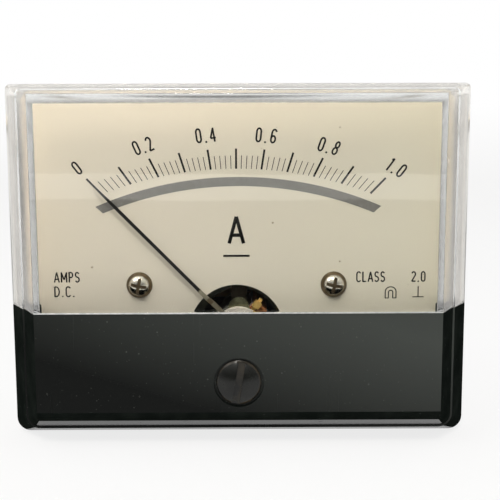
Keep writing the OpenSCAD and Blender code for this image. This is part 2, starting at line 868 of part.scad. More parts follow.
module shunt_strip() {
    color([0.75, 0.6, 0.4]) slab(shunt_y, tag_y) difference() {
        union() {
            translate([-terminal_x, terminal_z - 1.5]) square([2 * terminal_x, 3]);
            for (s = [-1, 1]) translate([s * terminal_x, terminal_z]) circle(3.4);
        }
        for (s = [-1, 1]) translate([s * terminal_x, terminal_z])
            circle(terminal_r + pass_gap);
    }
}

module terminal_washers() {
    color([0.75, 0.75, 0.75]) both_sides(terminal_x) difference() {
        bar(0, terminal_z, barrel_d, barrel_d + washer_t, 2.2 * terminal_r);
        bar(0, terminal_z, barrel_d - 1, barrel_d + washer_t + 1, terminal_r + pass_gap);
    }
}

module terminal_nuts() {
    y0 = barrel_d + washer_t;
    color([0.8, 0.7, 0.45]) both_sides(terminal_x) difference() {
        hex_bar(0, terminal_z, y0, y0 + nut_t, 3.5 * terminal_r);
        bar(0, terminal_z, y0 - 1, y0 + nut_t + 1, terminal_r + screw_gap);
    }
}

// Two thin leads run from the tags to the bearings
module front_lead() {
    r = 0.35;
    start = [-terminal_x, tag_y - r, terminal_z + 6.4];
    mid = [-terminal_x - 3, pole_y1 + 4, 4];
    top = [-pole_half_w - 1.2, 0, 4];
    color([0.7, 0.15, 0.12]) {
        wire(start, mid, r);
        wire(mid, top, r);
    }
}

module rear_lead() {
    r = 0.35;
    start = [terminal_x, tag_y - r, terminal_z + 6.4];
    mid = [terminal_x - 3, rear_bridge_y + 3, pivot_z + 6.5];
    end = [0, rear_bridge_y + rear_bridge_t + 0.6, pivot_z + 3.4];
    color([0.2, 0.2, 0.22]) {
        wire(start, mid, r);
        wire(mid, end, r);
    }
}

window_cover();
lower_cover();
base();
mounting_studs();
cover_screws();
dial_plate();
dial_screws();
dial_pillars();
zero_screw();
zero_screw_clip();
zero_lever();
front_bridge();
bridge_screws();
front_jewel_screw();
front_lock_nut();
front_hairspring();
pointer();
balance_arms();
balance_weights();
stop_pins();
front_staff();
coil_former();
coil_winding();
rear_staff();
rear_hairspring();
rear_spring_arm();
rear_bridge();
rear_bridge_screws();
rear_jewel_screw();
rear_lock_nut();
core();
core_holder();
left_pole_piece();
right_pole_piece();
magnet();
movement_screws();
terminal_studs();
terminal_tags();
shunt_strip();
terminal_washers();
terminal_nuts();
front_lead();
rear_lead();
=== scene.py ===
import math

import bpy
from mathutils import Matrix, Vector


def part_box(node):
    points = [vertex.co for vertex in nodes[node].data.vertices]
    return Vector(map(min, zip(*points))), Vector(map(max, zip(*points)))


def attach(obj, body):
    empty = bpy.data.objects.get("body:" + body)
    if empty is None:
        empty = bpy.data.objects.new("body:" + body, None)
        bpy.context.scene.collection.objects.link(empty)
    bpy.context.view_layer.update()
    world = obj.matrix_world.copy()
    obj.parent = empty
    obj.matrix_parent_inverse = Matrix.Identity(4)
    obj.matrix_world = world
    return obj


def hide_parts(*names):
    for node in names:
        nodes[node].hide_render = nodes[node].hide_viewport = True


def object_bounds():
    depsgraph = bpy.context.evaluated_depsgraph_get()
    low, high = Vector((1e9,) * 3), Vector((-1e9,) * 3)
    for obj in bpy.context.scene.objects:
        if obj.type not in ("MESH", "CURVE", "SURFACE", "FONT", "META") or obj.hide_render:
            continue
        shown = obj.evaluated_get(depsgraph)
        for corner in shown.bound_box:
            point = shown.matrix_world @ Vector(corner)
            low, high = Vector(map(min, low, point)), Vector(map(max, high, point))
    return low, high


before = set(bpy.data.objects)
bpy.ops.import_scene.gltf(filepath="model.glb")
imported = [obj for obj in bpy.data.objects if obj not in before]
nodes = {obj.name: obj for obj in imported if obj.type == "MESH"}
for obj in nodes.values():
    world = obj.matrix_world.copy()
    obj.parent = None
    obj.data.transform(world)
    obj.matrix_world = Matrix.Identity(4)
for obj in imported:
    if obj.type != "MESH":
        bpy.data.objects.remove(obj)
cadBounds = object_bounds()
mm = 0.001
print("frame loaded:", len(nodes), "nodes")


def deselectAll():
    if bpy.context.object and bpy.context.object.mode != "OBJECT":
        bpy.ops.object.mode_set(mode="OBJECT")
    bpy.ops.object.select_all(action="DESELECT")


def pick(*objs):  # the first one becomes the active one
    deselectAll()
    for o in objs:
        o.select_set(True)
    bpy.context.view_layer.objects.active = objs[0]
    return objs[0]


def settle(obj):  # place, turn and size go into the mesh
    pick(obj)
    bpy.ops.object.transform_apply(location=True, rotation=True, scale=True)
    return obj


def editAll(obj):  # leaves edit mode open with everything selected
    pick(obj)
    bpy.ops.object.mode_set(mode="EDIT")
    bpy.ops.mesh.select_all(action="SELECT")


def joinAll(objs, name):
    obj = pick(*objs)
    if len(objs) > 1:
        bpy.ops.object.join()
    obj.name = name
    obj.data.name = name
    return obj


def copyPiece(obj, name):
    twin = obj.copy()
    twin.data = obj.data.copy()
    twin.name = name
    bpy.context.scene.collection.objects.link(twin)
    return twin


def addModifier(obj, kind, **settings):
    pick(obj)
    made = obj.modifiers.new(kind.title(), kind)
    for key, value in settings.items():
        setattr(made, key, value)
    bpy.ops.object.modifier_apply(modifier=made.name)


# A free copy of a node's mesh, closed, with its flat faces melted together
def copyNode(nodeName, pieceName, gap=1e-6, flat=0.6):
    piece = copyPiece(nodes[nodeName], pieceName)
    piece.parent = None
    for key in list(piece.keys()):
        if key.startswith("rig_"):
            del piece[key]
    editAll(piece)
    bpy.ops.mesh.remove_doubles(threshold=gap)
    bpy.ops.mesh.dissolve_limited(angle_limit=math.radians(flat))
    bpy.ops.mesh.normals_make_consistent(inside=False)
    bpy.ops.object.mode_set(mode="OBJECT")
    return piece


def smoothEdges(obj, angle=32):
    pick(obj)
    bpy.ops.object.shade_smooth_by_angle(angle=math.radians(angle))


def selectByPlace(obj, test):  # leaves edit mode open with the vertices that pass the test
    pick(obj)
    bpy.ops.object.mode_set(mode="EDIT")
    bpy.ops.mesh.select_mode(type="VERT")
    bpy.ops.mesh.select_all(action="DESELECT")
    bpy.ops.object.mode_set(mode="OBJECT")
    for v in obj.data.vertices:
        v.select = test(v.co)
    bpy.ops.object.mode_set(mode="EDIT")


# A softened copy of a moulded or turned node stands for the node
def soften(nodeName, pieceName, body, width, cutAt=None, sharp=35):
    piece = copyNode(nodeName, pieceName)
    if cutAt is not None:  # a seam all round at this height, for a second finish
        editAll(piece)
        bpy.ops.mesh.bisect(plane_co=(0, 0, cutAt), plane_no=(0, 0, 1))
        bpy.ops.object.mode_set(mode="OBJECT")
    addModifier(piece, "BEVEL", width=width, segments=2, limit_method="ANGLE",
                angle_limit=math.radians(sharp), harden_normals=False,
                use_clamp_overlap=True, miter_outer="MITER_SHARP")
    smoothEdges(piece)
    addModifier(piece, "WEIGHTED_NORMAL", mode="FACE_AREA", weight=100, keep_sharp=True)
    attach(piece, body)
    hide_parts(nodeName)
    return piece


class Wire:  # a node's output that sums can be written with
    def __init__(self, shader, socket):
        self.shader = shader
        self.socket = socket

    def calc(self, operation, other, swapped=False):
        sides = (other, self) if swapped else (self, other)
        return self.shader.node("ShaderNodeMath", {"operation": operation},
                                {0: sides[0], 1: sides[1]})

    def __add__(self, other):
        return self.calc("ADD", other)

    def __radd__(self, other):
        return self.calc("ADD", other)

    def __sub__(self, other):
        return self.calc("SUBTRACT", other)

    def __rsub__(self, other):
        return self.calc("SUBTRACT", other, True)

    def __mul__(self, other):
        return self.calc("MULTIPLY", other)

    def __rmul__(self, other):
        return self.calc("MULTIPLY", other)

    def __truediv__(self, other):
        return self.calc("DIVIDE", other)

    def below(self, edge, soft):
        return 1 - self.above(edge - soft, soft)

    def above(self, edge, soft):  # 0 below the edge, 1 a little past it
        return self.shader.node("ShaderNodeMapRange", {"clamp": True},
                                {0: self, 1: edge, 2: edge + soft, 3: 0.0, 4: 1.0})


class Finish:  # one material under construction
    def __init__(self, name, world=None):
        self.material = world or bpy.data.materials.new(name)
        self.material.use_nodes = True
        self.tree = self.material.node_tree
        self.tree.nodes.clear()
        self.place = None

    def node(self, kind, settings=None, values=None, out=0):
        made = self.tree.nodes.new(kind)
        for key, value in (settings or {}).items():
            if key == "stops":
                ramp = made.color_ramp
                while len(ramp.elements) < len(value):
                    ramp.elements.new(0.5)
                for element, (position, colour) in zip(ramp.elements, value):
                    element.position = position
                    element.color = (*colour, 1)
            else:
                setattr(made, key, value)
        for key, value in (values or {}).items():
            if isinstance(value, Wire):
                self.tree.links.new(value.socket, made.inputs[key])
            else:
                if isinstance(value, tuple) and len(value) == 3 and made.inputs[key].type == "RGBA":
                    value = (*value, 1)
                made.inputs[key].default_value = value
        return Wire(self, made.outputs[out]) if len(made.outputs) else None

    def here(self):  # the point on the object, in metres
        if self.place is None:
            self.place = self.node("ShaderNodeTexCoord", out="Object")
        return self.place

    def stretched(self, scale, turn=(0, 0, 0)):
        return self.node("ShaderNodeMapping", {},
                         {"Vector": self.here(), "Scale": scale, "Rotation": turn})

    def noise(self, scale, detail=3.0, rough=0.55, at=None):
        return self.node("ShaderNodeTexNoise", {},
                         {"Vector": at or self.here(), "Scale": scale, "Detail": detail,
                          "Roughness": rough})

    def specks(self, scale, size, share, at=None):  # sparse round grains
        cell = {"Vector": at or self.here(), "Scale": scale, "Randomness": 1.0}
        near = self.node("ShaderNodeTexVoronoi", {"feature": "F1"}, cell, "Distance")
        tone = self.node("ShaderNodeTexVoronoi", {"feature": "F1"}, cell, "Color")
        pickOut = self.node("ShaderNodeSeparateColor", {}, {0: tone}).above(1 - share, 0.01)
        return (1 - near.above(size, size * 0.5)) * pickOut

    def axis(self, name):
        return self.node("ShaderNodeSeparateXYZ", {}, {0: self.here()}, name)

    def blend(self, factor, a, b):
        return self.node("ShaderNodeMix", {"data_type": "RGBA"}, {0: factor, 6: a, 7: b}, 2)

    def bump(self, height, strength, distance):
        return self.node("ShaderNodeBump", {},
                         {"Height": height, "Strength": strength, "Distance": distance})

    def surface(self, **values):
        named = {key.replace("_", " "): value for key, value in values.items()}
        return self.node("ShaderNodeBsdfPrincipled", {}, named)

    def finish(self, surface):
        self.node("ShaderNodeOutputMaterial", {}, {"Surface": surface})
        return self.material


def paint(obj, material):
    obj.data.materials.clear()
    obj.data.materials.append(material)
    return obj


def paintNode(name, material):
    for slotOfNode in nodes[name].material_slots:
        slotOfNode.material = material


# Lets the lamps through to the dial, and is dulled where it is scuffed
def clearAcrylic(name, tint, haze, ripples):
    f = Finish(name)
    scuff = f.noise(180, 4).above(0.56, 0.2) * f.noise(26, 2).above(0.5, 0.2)
    rough = haze + scuff * 0.035
    ripple = f.bump(f.noise(38, 1), ripples, 0.0004)
    glass = f.surface(Base_Color=tint, Roughness=rough, IOR=1.49, Transmission_Weight=1.0,
                      Normal=ripple)
    lamps = f.node("ShaderNodeLightPath", out="Is Shadow Ray")
    through = f.node("ShaderNodeBsdfTransparent", {}, {"Color": (0.95, 0.96, 0.95)})
    return f.finish(f.node("ShaderNodeMixShader", {}, {0: lamps, 1: glass, 2: through}))


def frostedEdgeHighlight():  # the sawn lower edge of the window, frosted, and painted near white as a highlight line where it meets the black, dimmer towards the right
    f = Finish("frostedEdgeHighlight")
    grit = f.noise(1500, 3)
    along = f.axis("X").above(-0.01, 0.05)
    # painted highlight: the edge's colour is near white, standing in for the light it catches from
    # above
    colour = f.blend(grit.above(0.4, 0.3), (0.86, 0.87, 0.86), (0.6, 0.63, 0.62))
    colour = f.blend(along * 0.5, colour, (0.5, 0.53, 0.51))
    return f.finish(f.surface(Base_Color=colour, Roughness=0.4 + grit * 0.2,
                              Specular_IOR_Level=0.3, Normal=f.bump(grit, 0.2, 0.00003)))


def glossBlack():  # painted reflection: the black is painted lighter to the right and up, where the sheen lies on the front; warmer towards the lower right, and painted shade along the rounded lower edge
    f = Finish("caseBlack")
    cloud = f.noise(45, 3)
    side, height = f.axis("X"), f.axis("Z")
    # painted reflection: haze is a ramp of lighter colour growing to the right and up, standing in
    # for the sheen on the front
    haze = 0.0205 + 0.72 * (side + 0.025) + 2.3 * (height + 0.012)
    haze = haze + (cloud - 0.5) * 0.006
    paintedSheen = (haze / 0.06).above(0.04, 0.96)
    sheenedBlack = f.blend(paintedSheen, (0.0022, 0.003, 0.0024), (0.06, 0.067, 0.062))
    warm = side.above(-0.005, 0.05) * height.below(-0.024, 0.012) * 0.5
    sheenedBlack = f.blend(warm, sheenedBlack, (0.017, 0.015, 0.013))
    # painted shade: a darker strip along the rounded lower edge
    edgeShade = height.below(-0.0312, 0.0006)
    sheenedBlack = f.blend(edgeShade * 0.85, sheenedBlack, (0.001, 0.0012, 0.0008))
    dust = f.specks(900, 0.1, 0.08) + f.specks(2300, 0.13, 0.1)
    colour = f.blend(dust * 0.3, sheenedBlack, (0.15, 0.16, 0.145))
    scratch = f.noise(900, 2, 0.6, f.stretched((1, 1, 0.04), (0.3, 0.6, 0.2))).above(0.66, 0.05)
    rough = 0.16 + cloud * 0.08 + dust * 0.3 + scratch * 0.12
    skin = f.bump(f.noise(60, 2) + 0.06 * scratch, 0.12, 0.00012)
    return f.finish(f.surface(Base_Color=colour, Roughness=rough, Specular_IOR_Level=0.12,
                              Normal=skin))


def shadedBlack():  # the moulding's sides: dull, dark and finely speckled
    f = Finish("shadedBlack")
    cloud = f.noise(260, 4)
    colour = f.blend(cloud.above(0.4, 0.35), (0.0065, 0.0085, 0.0075), (0.013, 0.016, 0.014))
    colour = f.blend(f.specks(1100, 0.12, 0.06) * 0.2, colour, (0.1, 0.11, 0.1))
    return f.finish(f.surface(Base_Color=colour, Roughness=0.45 + cloud * 0.2,
                              Specular_IOR_Level=0.0, Normal=f.bump(cloud, 0.2, 0.00005)))


def screwPlastic():
    f = Finish("screwBlack")
    cloud = f.noise(300, 3)
    dust = f.specks(1500, 0.12, 0.06)
    colour = f.blend(cloud.above(0.4, 0.3), (0.004, 0.0045, 0.0035), (0.012, 0.013, 0.011))
    brown = f.axis("Y").above(slotDepth, 0.0001) * cloud.above(0.45, 0.2)
    colour = f.blend(brown * 0.8, colour, (0.05, 0.038, 0.022))
    colour = f.blend(dust * 0.3, colour, (0.15, 0.14, 0.11))
    return f.finish(f.surface(Base_Color=colour, Roughness=0.19 + cloud * 0.1,
                              Specular_IOR_Level=0.35, Normal=f.bump(cloud, 0.15, 0.00006)))


def phenolic():
    f = Finish("phenolic")
    cloud = f.noise(70, 4)
    grit = f.noise(2600, 2)
    colour = f.blend(cloud, (0.02, 0.02, 0.021), (0.038, 0.036, 0.034))
    chalk = f.specks(900, 0.16, 0.12)
    colour = f.blend(chalk * 0.6, colour, (0.16, 0.155, 0.14))
    return f.finish(f.surface(Base_Color=colour, Roughness=0.36 + cloud * 0.14,
                              Specular_IOR_Level=0.3, Normal=f.bump(grit, 0.25, 0.00004)))


dialMarks = ((0.0063, 0.0075, 0.00022), (0.0187, 0.0003, 0.0002))  # across, up, reach


def dialEnamel():
    f = Finish("dialEnamel")
    warm = f.noise(11, 2)
    side, height = f.axis("X"), f.axis("Z")
    fine = f.noise(2400, 2)
    cream = f.blend(warm.above(0.35, 0.3), (0.765, 0.685, 0.565), (0.74, 0.675, 0.575))
    cool = f.blend(side.above(-0.013, 0.05) * 0.8, cream, (0.725, 0.68, 0.55))
    # painted light: the upper left of the dial is painted brighter, where the light falls
    litUpperLeft = height.above(-0.004, 0.04) * side.below(0.012, 0.06)
    tone = f.blend(litUpperLeft, cool, (0.86, 0.78, 0.66))
    dirt = f.specks(260, 0.045, 0.22) + f.specks(700, 0.06, 0.1)
    for x, z, reach in dialMarks:
        across, up = side - x, height - z
        spot = across * across + up * up
        dirt = dirt + 1.4 * spot.below(reach * reach, 0.6 * reach * reach)
    colour = f.blend(dirt * 0.55, tone, (0.22, 0.16, 0.08))
    return f.finish(f.surface(Base_Color=colour, Roughness=0.42 + fine * 0.08,
                              Specular_IOR_Level=0.3, Normal=f.bump(fine, 0.12, 0.00003)))


def printInk(name, tone, lift):
    f = Finish(name)
    patch = f.noise(1500, 3)
    colour = f.blend(patch.above(0.45, 0.3), tone, tuple(t + lift for t in tone))
    return f.finish(f.surface(Base_Color=colour, Roughness=0.45 + patch * 0.15,
                              Specular_IOR_Level=0.15, Normal=f.bump(patch, 0.1, 0.00002)))


def metal(name, tone, dull, roughness, grain=1400, stretch=(1, 1, 1), stain=0.5, metallic=1.0):
    f = Finish(name)
    cloud = f.noise(420, 4)
    lines = f.noise(grain, 3, 0.6, f.stretched(stretch))
    colour = f.blend(cloud.above(0.4, 0.3) * stain, tone, dull)
    rough = roughness + cloud * 0.12 + lines * 0.1
    return f.finish(f.surface(Base_Color=colour, Metallic=metallic, Roughness=rough,
                              Normal=f.bump(lines, 0.15, 0.00002)))


def screwHeadNickel(face, height):  # bright on the dome, with painted shade in the cross and round the rim
    f = Finish("screwHeadNickel")
    cloud = f.noise(900, 4)
    raised = (face - f.axis("Y")) / height
    # painted shade: the colour goes dark where the head sinks below its dome, in the cross and
    # round the rim
    crest = (raised + (cloud - 0.5) * 0.2).above(0.5, 0.14)
    colour = f.blend(crest, (0.16, 0.12, 0.075), (0.86, 0.8, 0.68))
    stain = cloud.above(0.52, 0.2) * 0.4
    colour = f.blend(stain, colour, (0.4, 0.31, 0.2))
    return f.finish(f.surface(Base_Color=colour, Metallic=1.0, Roughness=0.34 - crest * 0.16,
                              Normal=f.bump(cloud, 0.2, 0.00004)))


def pointerPaint():  # bare metal at the root, black beyond it
    f = Finish("pointerPaint")
    pivot = Vector((0, 0, hub["z"]))
    away = f.node("ShaderNodeVectorMath", {"operation": "SUBTRACT"},
                  {0: f.node("ShaderNodeVectorMath", {"operation": "MULTIPLY"},
                             {0: f.here(), 1: (1, 0, 1)}), 1: tuple(pivot)})
    far = f.node("ShaderNodeVectorMath", {"operation": "LENGTH"}, {0: away}, "Value")
    patch = f.noise(900, 3)
    black = (far + patch * 0.0006).above(hub["paintFrom"], 0.0004)
    bare = f.blend(patch, (0.5, 0.46, 0.36), (0.33, 0.29, 0.2))
    colour = f.blend(black, bare, (0.014, 0.013, 0.013))
    return f.finish(f.surface(Base_Color=colour, Metallic=(1 - black) * 0.85,
                              Roughness=0.34 + patch * 0.15 + black * 0.12, Specular_IOR_Level=0.2,
                              Normal=f.bump(patch, 0.1, 0.00002)))


def copperWinding():
    f = Finish("copperWinding")
    turns = f.node("ShaderNodeTexWave", {"wave_type": "BANDS", "bands_direction": "Z"},
                   {"Vector": f.here(), "Scale": 1300.0, "Distortion": 0.6}, "Fac")
    shade = f.noise(700, 3)
    colour = f.blend(shade, (0.75, 0.3, 0.09), (0.36, 0.12, 0.045))
    # painted shade in the grooves between the turns
    colour = f.blend(1 - turns.above(0.12, 0.2), colour, (0.1, 0.03, 0.012))
    return f.finish(f.surface(Base_Color=colour, Metallic=0.45, Roughness=0.26 + shade * 0.14,
                              Normal=f.bump(turns, 0.6, 0.00006)))


def wireSleeve(name, tone):
    f = Finish(name)
    patch = f.noise(800, 3)
    colour = f.blend(patch, tone, tuple(t * 0.7 for t in tone))
    return f.finish(f.surface(Base_Color=colour, Roughness=0.45 + patch * 0.15,
                              Normal=f.bump(patch, 0.15, 0.00003)))


hub = {"z": -0.0123, "paintFrom": 0.0105}  # the pointer's pivot, and where its paint begins
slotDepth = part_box("zero_screw")[0].y + 0.0009  # most of the way down the zero screw's slot

nickel = metal("nickel", (0.62, 0.57, 0.48), (0.4, 0.33, 0.24), 0.2, 2000)
zinc = metal("zinc", (0.55, 0.56, 0.57), (0.36, 0.36, 0.36), 0.3, 2000)
brass = metal("brass", (0.68, 0.5, 0.24), (0.42, 0.27, 0.12), 0.24, 1800, (1, 0.1, 1))
giltBrass = metal("giltBrass", (0.95, 0.66, 0.22), (0.5, 0.27, 0.06), 0.26, 2600, metallic=0.6)
springBronze = metal("springBronze", (0.62, 0.42, 0.19), (0.4, 0.22, 0.09), 0.25, 3000)
bridgeAlloy = metal("bridgeAlloy", (0.24, 0.235, 0.14), (0.04, 0.04, 0.025), 0.32, 1500, stain=0.95)
leverAlloy = metal("leverAlloy", (0.93, 0.86, 0.76), (0.75, 0.6, 0.55), 0.26, 2400, metallic=0.35)
plainAluminium = metal("plainAluminium", (0.66, 0.66, 0.67), (0.46, 0.46, 0.46), 0.3, 2000)
softIron = metal("softIron", (0.34, 0.35, 0.3), (0.2, 0.2, 0.16), 0.42, 1600, stain=0.8)
poleIron = metal("poleIron", (0.1, 0.105, 0.085), (0.05, 0.05, 0.04), 0.5, 1600, stain=0.8)
strapMetal = metal("strapMetal", (0.13, 0.11, 0.08), (0.05, 0.045, 0.035), 0.45, 1600, stain=0.8)
magnetAlloy = metal("magnetAlloy", (0.2, 0.2, 0.21), (0.12, 0.11, 0.11), 0.5, 900, stain=0.8)
manganin = metal("manganin", (0.55, 0.4, 0.25), (0.36, 0.24, 0.14), 0.34, 1500)
caseBlack = glossBlack()
sideBlack = shadedBlack()
windowSides = clearAcrylic("windowSides", (0.965, 0.91, 0.825), 0.26, 0.12)
screwBlack = screwPlastic()
windowEdge = frostedEdgeHighlight()
screwNickel = screwHeadNickel(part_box("dial_plate")[0].y, 0.0017)
phenolicBlack = phenolic()
windowClear = clearAcrylic("clearAcrylic", (0.97, 0.985, 0.975), 0.012, 0.08)
enamel = dialEnamel()
blackInk = printInk("blackInk", (0.006, 0.0055, 0.005), 0.006)
greyInk = printInk("greyInk", (0.2, 0.19, 0.175), 0.035)

nodeFinish = {
    "cover_screws": zinc, "dial_plate": enamel, "dial_pillars": brass,
    "zero_screw_clip": zinc, "bridge_screws": nickel, "front_jewel_screw": brass,
    "front_lock_nut": brass, "front_hairspring": springBronze, "balance_arms": giltBrass,
    "balance_weights": giltBrass, "stop_pins": zinc, "front_staff": zinc,
    "coil_former": plainAluminium, "coil_winding": copperWinding(), "rear_staff": zinc,
    "rear_hairspring": springBronze, "rear_spring_arm": springBronze,
    "rear_bridge": bridgeAlloy, "rear_bridge_screws": nickel, "rear_jewel_screw": brass,
    "rear_lock_nut": brass, "core": softIron, "core_holder": strapMetal,
    "left_pole_piece": poleIron, "right_pole_piece": poleIron, "magnet": magnetAlloy,
    "movement_screws": zinc, "terminal_tags": nickel, "shunt_strip": manganin,
    "front_lead": wireSleeve("redSleeve", (0.42, 0.03, 0.025)),
    "rear_lead": wireSleeve("blackSleeve", (0.03, 0.03, 0.03)),
    "pointer": pointerPaint(), "zero_lever": leverAlloy, "front_bridge": bridgeAlloy,
    "window_cover": windowClear, "lower_cover": caseBlack, "base": phenolicBlack,
    "mounting_studs": nickel, "dial_screws": screwNickel, "zero_screw": screwBlack,
    "terminal_studs": brass, "terminal_washers": nickel, "terminal_nuts": brass,
}
for nodeName in nodes:
    paintNode(nodeName, nodeFinish[nodeName])
print("finishes made:", len(bpy.data.materials))


softParts = [  # node, piece, body, edge width, finish
    ("window_cover", "clearWindow", "case", 0.00022, windowClear),
    ("lower_cover", "blackFrontCover", "case", 0.00022, caseBlack),
    ("base", "rearBase", "case", 0.0003, phenolicBlack),
    ("dial_screws", "dialScrews", "case", 0.00012, screwNickel),
    ("zero_screw", "zeroAdjuster", "zero_adjuster", 0.0002, screwBlack),
    ("zero_lever", "zeroLever", "zero_arm", 0.00006, leverAlloy),
    ("front_bridge", "frontBridge", "case", 0.00015, bridgeAlloy),
    ("terminal_nuts", "terminalNuts", "case", 0.0003, brass),
    ("terminal_washers", "terminalWashers", "case", 0.0001, nickel),
]
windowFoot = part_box("window_cover")[0].z
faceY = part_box("window_cover")[0].y


def windowPart(face):  # 1 sides and top, 2 bright lower edge, 3 foot on the black
    turned = face.normal
    if face.center.z < windowFoot + 0.0003 and face.center.y < faceY + 0.0008:
        return 2
    if turned.z < -0.9 and face.center.z < windowFoot + 0.0001:
        return 3
    return 1 if abs(turned.y) < 0.9 else 0


def coverPart(face):  # 1 wherever the moulding turns away from the front
    turned = face.normal
    if turned.z < -0.1 and turned.y < -0.15:
        return 1 if turned.y > -0.985 and turned.z > -0.8 else 0
    return 1 if turned.y > -0.9 else 0


extraFinishes = {"window_cover": (windowPart, (windowSides, windowEdge, sideBlack)),
                 "lower_cover": (coverPart, (sideBlack,))}
for nodeName, pieceName, body, width, material in softParts:
    cut = windowFoot + 0.00034 if nodeName == "window_cover" else None
    piece = soften(nodeName, pieceName, body, width, cutAt=cut)
    paint(piece, material)
    if nodeName in extraFinishes:
        sort, more = extraFinishes[nodeName]
        for added in more:
            piece.data.materials.append(added)
        for face in piece.data.polygons:
            face.material_index = sort(face)
print("mouldings softened")


threads = {  # where each stud stands, and the size of its thread
    "mounting_studs": {"x": 0.036, "z": (-0.026, 0.026), "outer": 0.0015, "pitch": 0.0005,
                       "start": 0.0009, "turns": 25},
    "terminal_studs": {"x": 0.0125, "z": (-0.0095,), "outer": 0.002, "pitch": 0.0007,
                       "start": 0.0292, "turns": 9},
}


def threadRoot(size):  # the radius between the ridges
    return size["outer"] - 0.61 * size["pitch"]


def threadRidge(size):  # one helical ridge round the Y axis at the origin
    sunk = threadRoot(size) - 0.00004
    pitch = size["pitch"]
    bpy.ops.mesh.primitive_plane_add(size=1)
    ridge = bpy.context.object
    corners = ((sunk, 0.02), (size["outer"], 0.42), (sunk, 0.95), (size["outer"], 0.55))
    for v, (r, along) in zip(ridge.data.vertices, corners):
        v.co = (r, along * pitch, 0)
    editAll(ridge)
    bpy.ops.mesh.delete(type="ONLY_FACE")
    bpy.ops.object.mode_set(mode="OBJECT")
    addModifier(ridge, "SCREW", axis="Y", angle=math.tau, steps=20, render_steps=20,
                screw_offset=pitch, iterations=size["turns"], use_smooth_shade=False,
                use_merge_vertices=False)
    pick(ridge)
    bpy.ops.object.mode_set(mode="EDIT")
    bpy.ops.mesh.select_mode(type="EDGE")
    bpy.ops.mesh.select_all(action="DESELECT")
    bpy.ops.mesh.select_non_manifold()
    bpy.ops.mesh.edge_face_add()
    bpy.ops.mesh.select_all(action="SELECT")
    bpy.ops.mesh.normals_make_consistent(inside=False)
    bpy.ops.object.mode_set(mode="OBJECT")
    return ridge


def threadedRods(nodeName, pieceName, material):
    size = threads[nodeName]
    inner = threadRoot(size)
    piece = copyNode(nodeName, pieceName)
    centres = [(sx * size["x"], z) for sx in (-1, 1) for z in size["z"]]
    for v in piece.data.vertices:  # thins the threaded length down to the thread's root
        cx, cz = min(centres, key=lambda c: (v.co.x - c[0]) ** 2 + (v.co.z - c[1]) ** 2)
        reach = math.hypot(v.co.x - cx, v.co.z - cz)
        if v.co.y > size["start"] - 0.001 and reach > 1e-6 and reach < size["outer"] * 1.02:
            v.co.x = cx + (v.co.x - cx) * inner / reach
            v.co.z = cz + (v.co.z - cz) * inner / reach
    addModifier(piece, "BEVEL", width=0.00018, segments=2, limit_method="ANGLE",
                angle_limit=math.radians(40), use_clamp_overlap=True)
    ridge = threadRidge(size)
    ridges = [ridge] + [copyPiece(ridge, "ridge") for _ in centres[1:]]
    for made, (cx, cz) in zip(ridges, centres):
        made.data.transform(Matrix.Translation(Vector((cx, size["start"], cz))))
    piece = joinAll([piece] + ridges, pieceName)
    smoothEdges(piece, 40)
    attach(piece, "case")
    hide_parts(nodeName)
    return paint(piece, material)


threadedRods("mounting_studs", "mountingStuds", nickel)
threadedRods("terminal_studs", "terminalStuds", brass)
print("threads cut")


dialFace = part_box("dial_plate")[0].y
ink = {"lift": 0.000014, "half": 0.000016}  # how the print stands on the dial


def arcPoints(cx, cy, rx, ry, start, end, steps=12):
    return [(cx + rx * math.cos(math.radians(start + (end - start) * i / steps)),
             cy + ry * math.sin(math.radians(start + (end - start) * i / steps)))
            for i in range(steps + 1)]


